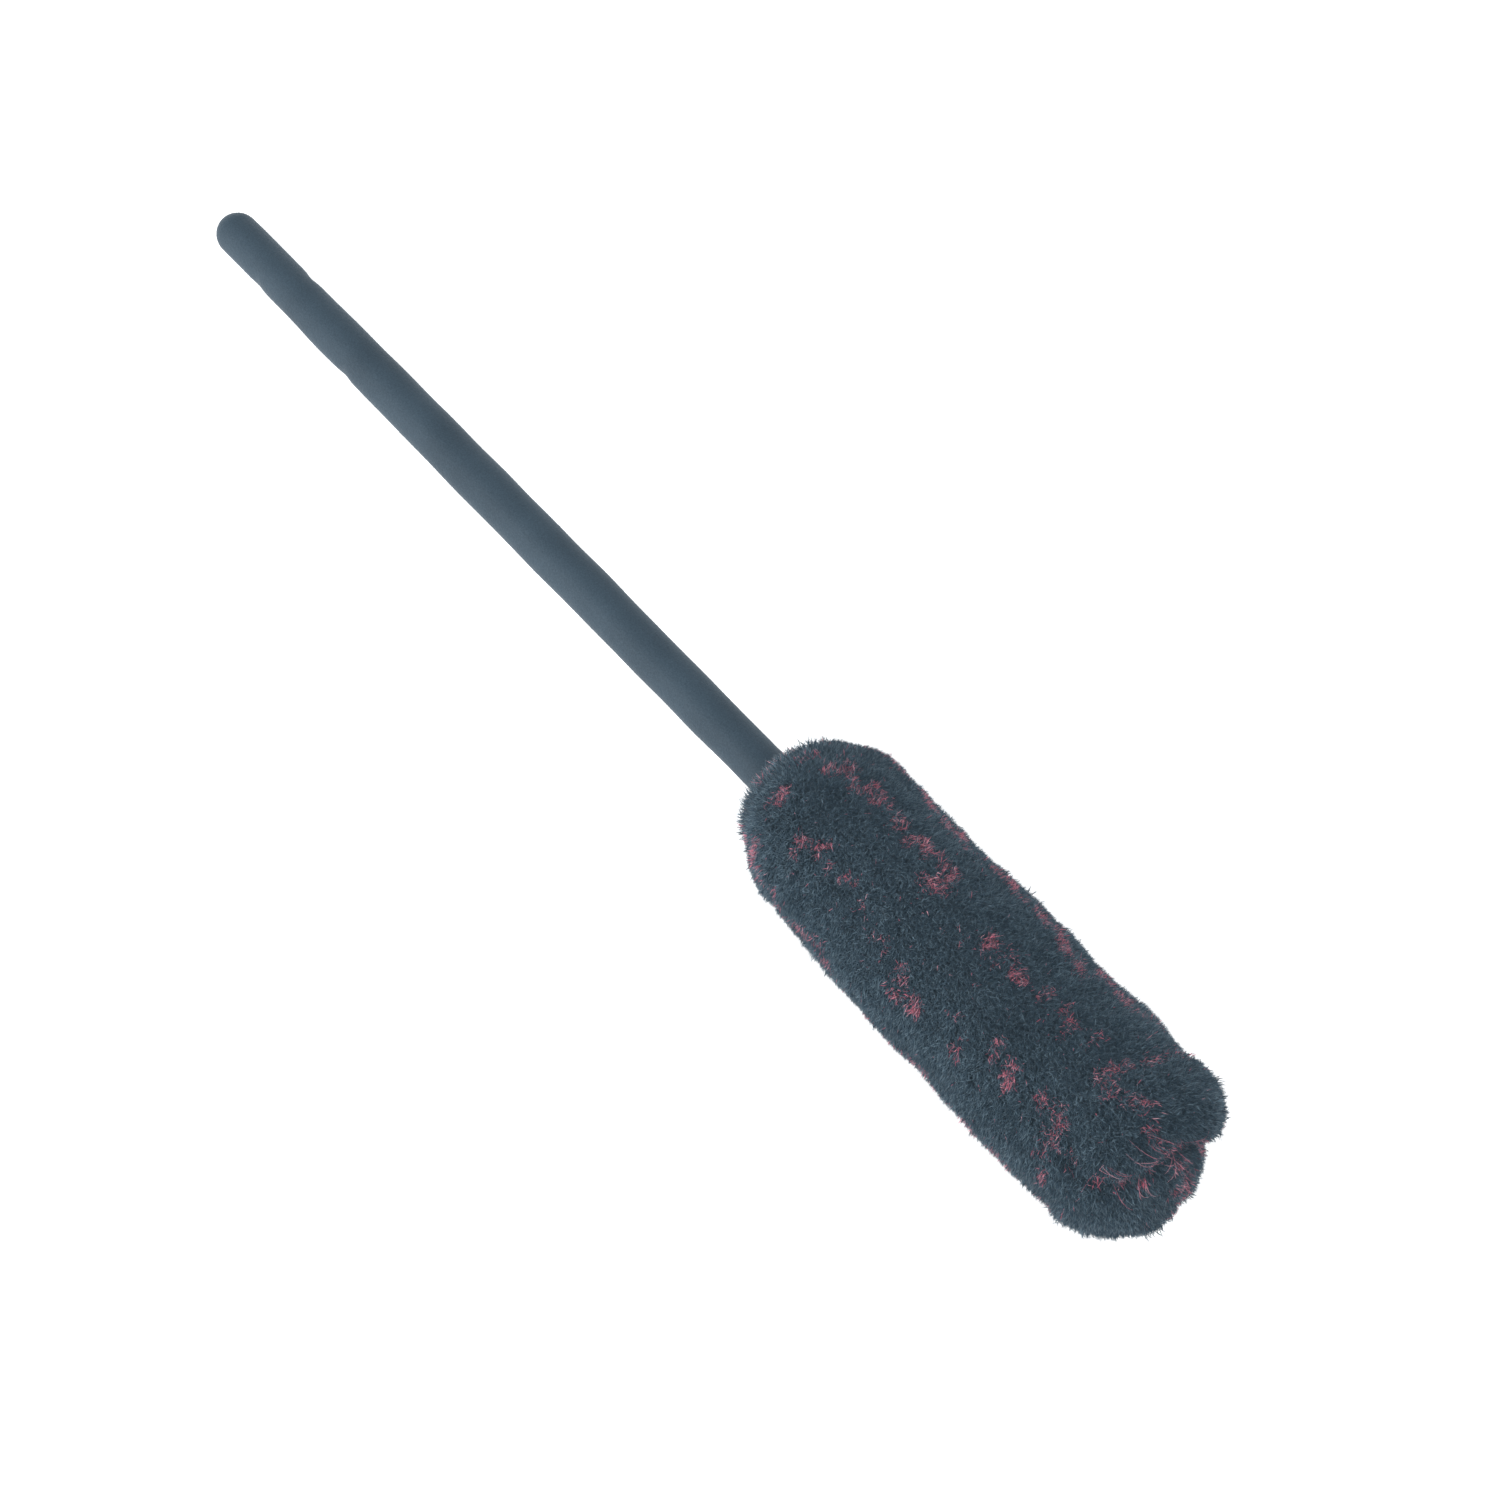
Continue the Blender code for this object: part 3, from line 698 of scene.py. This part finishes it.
def make_curls(material):
    """Long stray fibres that lie curled over the partings of the tip."""
    draw = np.random.default_rng(SEED + 2)
    paths = []
    for _ in range(CURLS):
        start, end, _ = PARTINGS[draw.choice(len(PARTINGS), p=CURL_PARTINGS)]
        line = rim(end) - start
        place = start + draw.uniform(0.0, 0.95) * line + draw.normal(0, 1.4 * MM, 2)
        heading = math.atan2(*line[::-1]) + draw.normal(0, 0.65)
        bend = draw.normal(0, 0.11)
        step = draw.uniform(0.3, 0.75) * MM
        flat = [place]
        for _ in range(CURL_POINTS - 1):
            heading += bend + draw.normal(0, 0.05)
            flat.append(flat[-1] + step * np.array((math.cos(heading), math.sin(heading))))
        flat = np.array(flat)
        radius = np.clip(np.hypot(flat[:, 0], flat[:, 1]), 0.3 * MM, TIP_R - 0.8 * MM)
        stations = np.array([station_of_radius(value) for value in radius])
        skin = Skin(stations, np.arctan2(flat[:, 1], flat[:, 0]))
        lift = np.sin(np.linspace(0, math.pi, CURL_POINTS)) * draw.uniform(0.6, 1.8) * MM - 0.7 * MM
        points = skin.point + (pile_height(skin) + lift)[:, None] * skin.normal
        points[:, 2] = np.maximum(points[:, 2], TABLE_GAP)
        paths.append(points)
    paths = np.array(paths)
    forward = unit(np.gradient(paths, axis=1))
    across = unit(np.cross(forward, unit(paths - box_middle("tip_hub"))))
    other = np.cross(forward, across)
    taper = np.linspace(1, 0.45, CURL_POINTS)[None, :, None]
    rings = [
        paths + CURL_R * taper * (math.cos(turn) * across + math.sin(turn) * other)
        for turn in (math.tau * corner / 3 for corner in range(3))
    ]
    points = np.stack(rings, axis=2).reshape(CURLS, -1, 3)
    faces = [(0, 2, 1)]
    for ring in range(CURL_POINTS - 1):
        for corner in range(3):
            a, b = 3 * ring + corner, 3 * ring + (corner + 1) % 3
            faces.append((a, b, b + 3, a + 3))
    last = 3 * (CURL_POINTS - 1)
    faces.append((last, last + 1, last + 2))
    # Painted shade: through the fibre ramp, each curl darkens towards its start, as a fibre does towards
    # its root.
    along = np.repeat(np.linspace(0.3, 1, CURL_POINTS), 3)
    mesh = copies_mesh("pile_tip_curls", points, faces, along, draw.uniform(0.3, 1.0, CURLS))
    add_piece("pile_tip_curls", mesh, material, "pile_tip_petal_3")


def grip_profile():
    """Stations and radii of the grip's outside, from the middle of its butt to the open end."""
    start, end = span("foam_grip_sleeve")
    end_r = widest("foam_grip_sleeve", end)
    full_r = widest("foam_grip_sleeve", (start + end) / 2, reach=30 * MM)
    dome = np.linspace(0, math.pi / 2, DOME_RINGS, endpoint=False)[1:]
    stations = np.linspace(end_r, end, int((end - end_r) / GRIP_RING_STEP))
    share = (stations - end_r) / (end - end_r)
    radii = end_r + (full_r - end_r) * np.sin(math.pi * share)
    along = np.concatenate([[0], end_r * (1 - np.cos(dome)), stations])
    return along, np.concatenate([[0], end_r * np.sin(dome), radii])


def bore_profile(open_end):
    """Stations and radii of the grip's bore, from the open end down around the rod's end cap."""
    cap_start, cap_end = span("rod_end_cap")
    rod_r = widest("core_rod", open_end - 20 * MM, reach=60 * MM) + BORE_GAP
    cap_r = widest("rod_end_cap", cap_end) + BORE_GAP
    step, deep = cap_end + BORE_GAP, cap_start - BORE_GAP
    along = [open_end, step, step, deep, deep]
    return np.array(along), np.array([rod_r, rod_r, cap_r, cap_r, 0])


def make_grip(material):
    """The foam sleeve: a softly uneven tube with a fine grain, a domed butt and a bore for the rod."""
    draw = np.random.default_rng(SEED + 3)
    outer_along, outer_r = grip_profile()
    bore_along, bore_r = bore_profile(outer_along[-1])
    along = np.concatenate([outer_along[1:], bore_along[:-1]])
    radius = np.concatenate([outer_r[1:], bore_r[:-1]])
    rings, outer_rings = len(along), len(outer_along) - 1
    turns = np.arange(GRIP_SIDES) * math.tau / GRIP_SIDES
    outward = np.cos(turns)[:, None] * DOWN + np.sin(turns)[:, None] * ACROSS
    centres = BUTT + along[:, None] * AXIS
    points = centres[:, None] + radius[:, None, None] * outward
    lift = FOAM_UNEVEN * soft_noise(points.reshape(-1, 3), 26 * MM, 5).reshape(rings, -1)
    lift -= FOAM_UNEVEN
    lift += draw.normal(0, FOAM_GRAIN, lift.shape)
    for station, angle in DENTS:
        sideways = turn_between(turns, angle)[None, :] * radius[:, None]
        lift -= DENT_DEPTH * bump(np.hypot(along[:, None] - station, 0.6 * sideways), DENT_R)
    lift *= np.clip(radius / (4 * MM), 0, 1)[:, None] * (np.arange(rings) < outer_rings)[:, None]
    points += lift[:, :, None] * outward
    ends = [BUTT, BUTT + bore_along[-1] * AXIS]
    faces = []
    for ring in range(rings - 1):
        for side in range(GRIP_SIDES):
            after = (side + 1) % GRIP_SIDES
            a, b = ring * GRIP_SIDES, (ring + 1) * GRIP_SIDES
            faces.append((a + side, a + after, b + after, b + side))
    first, last, deep = rings * GRIP_SIDES, rings * GRIP_SIDES + 1, (rings - 1) * GRIP_SIDES
    for side in range(GRIP_SIDES):
        after = (side + 1) % GRIP_SIDES
        faces.append((first, after, side))
        faces.append((last, deep + side, deep + after))
    mesh = bpy.data.meshes.new("grip_foam")
    mesh.from_pydata(np.concatenate([points.reshape(-1, 3), ends]).tolist(), [], faces)
    mesh.shade_smooth()
    mesh.materials.append(material)
    item = bpy.data.objects.new("grip_foam", mesh)
    bpy.context.scene.collection.objects.link(item)
    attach(item, "root")
    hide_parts("foam_grip_sleeve")


# Materials

def new_material(name, roughness):
    """A Principled material, and its node tree and shader."""
    material = bpy.data.materials.new(name)
    material.use_nodes = True
    tree = material.node_tree
    shader = tree.nodes["Principled BSDF"]
    shader.inputs["Roughness"].default_value = roughness
    return material, tree, shader


def ramp(tree, factor, stops):
    """A colour ramp fed by a factor."""
    node = tree.nodes.new("ShaderNodeValToRGB")
    tree.links.new(factor, node.inputs["Fac"])
    elements = node.color_ramp.elements
    while len(elements) < len(stops):
        elements.new(0.5)
    for element, (position, colour) in zip(elements, stops):
        element.position = position
        element.color = (*colour, 1.0)
    return node.outputs["Color"]


def noise(tree, scale, detail=2.0):
    """A noise texture in object coordinates."""
    place = tree.nodes.new("ShaderNodeTexCoord").outputs["Object"]
    node = tree.nodes.new("ShaderNodeTexNoise")
    node.inputs["Scale"].default_value = scale
    node.inputs["Detail"].default_value = detail
    tree.links.new(place, node.inputs["Vector"])
    return node.outputs["Fac"]


def add_bump(tree, shader, height, distance, strength=1.0):
    """A bump from a height pattern, in metres."""
    node = tree.nodes.new("ShaderNodeBump")
    node.inputs["Distance"].default_value = distance
    node.inputs["Strength"].default_value = strength
    tree.links.new(height, node.inputs["Height"])
    tree.links.new(node.outputs["Normal"], shader.inputs["Normal"])


def math_node(tree, operation, first, second):
    """A math node on two inputs, each a socket or a number."""
    node = tree.nodes.new("ShaderNodeMath")
    node.operation = operation
    for socket, value in zip(node.inputs, (first, second)):
        if isinstance(value, (int, float)):
            socket.default_value = value
        else:
            tree.links.new(value, socket)
    return node.outputs["Value"]


def attribute(tree, name):
    """A number stored on the mesh."""
    node = tree.nodes.new("ShaderNodeAttribute")
    node.attribute_name = name
    return node.outputs["Fac"]


def fibre_material(name, shades, roughness):
    """Fibres that differ in tone at random, with painted shade that makes them darker towards their
    roots, deep in the pile.
    """
    material, tree, shader = new_material(name, roughness)
    shade = attribute(tree, "fibre_shade")
    along = attribute(tree, "fibre_along")
    # Painted shade: the colour darkens towards each fibre's root, deep in the pile, and lightens towards
    # its tip.
    depth = math_node(tree, "MULTIPLY_ADD", along, 0.35)
    depth.node.inputs[2].default_value = -0.15
    patch = math_node(tree, "MULTIPLY", noise(tree, 60, detail=3.0), 0.3)
    mixed = math_node(tree, "ADD", math_node(tree, "MULTIPLY", shade, 0.7), depth)
    mixed = math_node(tree, "ADD", mixed, patch)
    stops = list(zip((0.0, 0.55, 1.0), shades))
    tree.links.new(ramp(tree, mixed, stops), shader.inputs["Base Color"])
    shader.inputs["Specular IOR Level"].default_value = 0.15
    shader.inputs["Sheen Weight"].default_value = 0.12
    shader.inputs["Sheen Roughness"].default_value = 0.5
    return material


def bed_material():
    """Matted lower plush."""
    material, tree, shader = new_material("pile_bed", 0.95)
    speckle = noise(tree, 2200, detail=4.0)
    stops = list(zip((0.3, 0.7), BED_SHADES))
    tree.links.new(ramp(tree, speckle, stops), shader.inputs["Base Color"])
    add_bump(tree, shader, speckle, 0.0006)
    return material


def foam_material():
    """Fine-grained closed-cell foam with a soft bloom."""
    material, tree, shader = new_material("grip_foam", 0.66)
    grain = noise(tree, 2200, detail=3.0)
    clouds = noise(tree, 45, detail=3.0)
    fine = math_node(tree, "MULTIPLY", grain, 0.6)
    coarse = math_node(tree, "MULTIPLY", clouds, 0.4)
    stops = list(zip((0.34, 0.66), FOAM_SHADES))
    mixed = math_node(tree, "ADD", fine, coarse)
    tree.links.new(ramp(tree, mixed, stops), shader.inputs["Base Color"])
    shader.inputs["Specular IOR Level"].default_value = 0.3
    shader.inputs["Sheen Weight"].default_value = 0.1
    shader.inputs["Sheen Roughness"].default_value = 0.4
    shader.inputs["Sheen Tint"].default_value = (0.85, 0.93, 1.0, 1.0)
    add_bump(tree, shader, grain, 0.00022, strength=0.7)
    return material


def moulded_material(name, colour, roughness):
    """Moulded plastic or rubber with a faint grain."""
    material, tree, shader = new_material(name, roughness)
    grain = noise(tree, 900, detail=4.0)
    dark = tuple(0.8 * value for value in colour)
    tree.links.new(ramp(tree, grain, [(0.3, dark), (0.7, colour)]), shader.inputs["Base Color"])
    add_bump(tree, shader, grain, 0.0001, strength=0.5)
    return material


def cloth_material(name, colour):
    """Plain weave."""
    material, tree, shader = new_material(name, 0.9)
    place = tree.nodes.new("ShaderNodeTexCoord").outputs["Object"]
    waves = []
    for direction in ("X", "Y"):
        wave = tree.nodes.new("ShaderNodeTexWave")
        wave.bands_direction = direction
        wave.inputs["Scale"].default_value = 400
        wave.inputs["Distortion"].default_value = 0.6
        tree.links.new(place, wave.inputs["Vector"])
        waves.append(wave.outputs["Fac"])
    weave = math_node(tree, "MULTIPLY", *waves)
    dark = tuple(0.5 * value for value in colour)
    tree.links.new(ramp(tree, weave, [(0.0, dark), (0.6, colour)]), shader.inputs["Base Color"])
    add_bump(tree, shader, weave, 0.0002)
    return material


def paint_nodes():
    """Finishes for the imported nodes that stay."""
    nylon = moulded_material("nylon", (0.030, 0.032, 0.036), 0.45)
    core = moulded_material("core_plastic", (0.12, 0.125, 0.13), 0.5)
    pin = moulded_material("pin_plastic", (0.55, 0.55, 0.52), 0.4)
    rubber = moulded_material("bumper_rubber", (0.022, 0.022, 0.024), 0.7)
    cloth = cloth_material("backing_cloth", (0.035, 0.035, 0.040))
    tape = cloth_material("seam_tape", (0.16, 0.16, 0.165))
    cord = cloth_material("tie_cord", (0.60, 0.59, 0.56))
    finishes = {
        "rod_end_cap": nylon,
        "core_rod": nylon,
        "neck_hub": core,
        "core_tube": core,
        "tip_hub": core,
        "neck_cross_pin": pin,
        "tip_cross_pin": pin,
        "tip_bumper": rubber,
        "neck_backing": cloth,
        "backing_sleeve": cloth,
        "tip_backing": cloth,
        "neck_tie_cord": cord,
        "seam_tape": tape,
    }
    for name, material in finishes.items():
        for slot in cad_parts[name].material_slots:
            slot.material = material


# Studio

def make_floor():
    """A plain pale floor."""
    bpy.ops.mesh.primitive_plane_add(size=FLOOR_SIZE, location=(0, 0, -FLOOR_GAP))
    floor = bpy.context.object
    floor.name = "floor"
    material, tree, shader = new_material("floor", 0.9)
    stops = list(zip((0.0, 1.0), FLOOR_SHADES))
    tree.links.new(ramp(tree, noise(tree, 0.8), stops), shader.inputs["Base Color"])
    shader.inputs["Emission Color"].default_value = (1.0, 1.0, 1.0, 1.0)
    shader.inputs["Emission Strength"].default_value = 0.6
    floor.data.materials.append(material)


def make_light(name, place, power):
    """A large soft lamp aimed at the brush."""
    data = bpy.data.lights.new(name, "AREA")
    data.shape = "DISK"
    data.size = LAMP_SIZE
    data.energy = power
    lamp = bpy.data.objects.new(name, data)
    lamp.location = place
    lamp.rotation_euler = (CAMERA_AIM - Vector(place)).to_track_quat("-Z", "Y").to_euler()
    bpy.context.scene.collection.objects.link(lamp)


def make_studio():
    """Bright even surroundings, a soft lamp low at the viewer's left and a weaker one at the right."""
    world = bpy.data.worlds.new("studio")
    world.use_nodes = True
    background = world.node_tree.nodes["Background"]
    background.inputs["Color"].default_value = (*SURROUNDINGS, 1.0)
    background.inputs["Strength"].default_value = SURROUNDINGS_STRENGTH
    bpy.context.scene.world = world
    make_light("soft_key", KEY_PLACE, KEY_POWER)
    make_light("soft_rim", SIDE_PLACE, SIDE_POWER)
    view = bpy.context.scene.view_settings
    view.view_transform = "Standard"
    view.use_curve_mapping = True
    view.curve_mapping.black_level = GLARE
    view.curve_mapping.update()
    make_floor()


def make_camera():
    """The camera at the angle from which the brush is shown."""
    data = bpy.data.cameras.new("camera")
    data.sensor_width = SENSOR
    data.lens = FOCAL_LENGTH
    camera = bpy.data.objects.new("camera", data)
    back = Vector(
        (
            math.sin(CAMERA_TURN) * math.cos(CAMERA_HEIGHT),
            -math.cos(CAMERA_TURN) * math.cos(CAMERA_HEIGHT),
            math.sin(CAMERA_HEIGHT),
        )
    )
    camera.location = CAMERA_AIM + CAMERA_DISTANCE * back
    camera.rotation_euler = (-back).to_track_quat("-Z", "Y").to_euler()
    bpy.context.scene.collection.objects.link(camera)
    bpy.context.scene.camera = camera


make_camera()
make_studio()
paint_nodes()
black = fibre_material("pile_black", BLACK_PILE, roughness=0.7)
red = fibre_material("pile_red", RED_PILE, roughness=0.6)
make_grip(foam_material())
make_beds(bed_material())
make_fibres(black, red)
make_curls(red)
